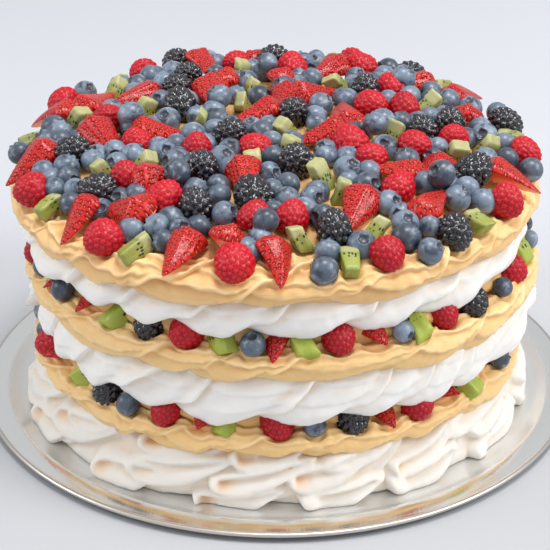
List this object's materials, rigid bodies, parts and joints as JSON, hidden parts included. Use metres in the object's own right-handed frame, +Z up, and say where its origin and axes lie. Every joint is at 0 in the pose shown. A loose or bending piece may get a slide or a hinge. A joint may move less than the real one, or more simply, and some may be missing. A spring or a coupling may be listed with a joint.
{
  "type": "meringue layer cake on tray",
  "caption": "Tall round meringue cake in tiers with ruffled coffee-coloured cream and mixed berries, kiwi and strawberry, on a low round metal tray.",
  "frame": {"origin": "middle of the tray's flat underside, where it rests on the table", "axes": "+Z up; -Y towards the camera side of the picture; +X to the right in the picture"},
  "size_m": [0.356, 0.356, 0.1735],
  "materials": {
    "tray_metal": "smooth, softly reflecting sheet metal",
    "meringue": "baked meringue, satin white with faintly browned hollows",
    "cream": "whipped coffee-coloured cream, satin",
    "fruit": "mixed fresh fruit: dusty blue, dark and red berries, green kiwi, glossy red strawberry"
  },
  "bodies": {
    "root": {"tray": "tray_metal", "meringue_low": "meringue", "meringue_middle": "meringue", "meringue_top": "meringue", "cream_low": "cream", "cream_middle": "cream", "cream_top": "cream", "fruit_low": "fruit", "fruit_middle": "fruit", "fruit_top": "fruit"}
  },
  "joints": []
}
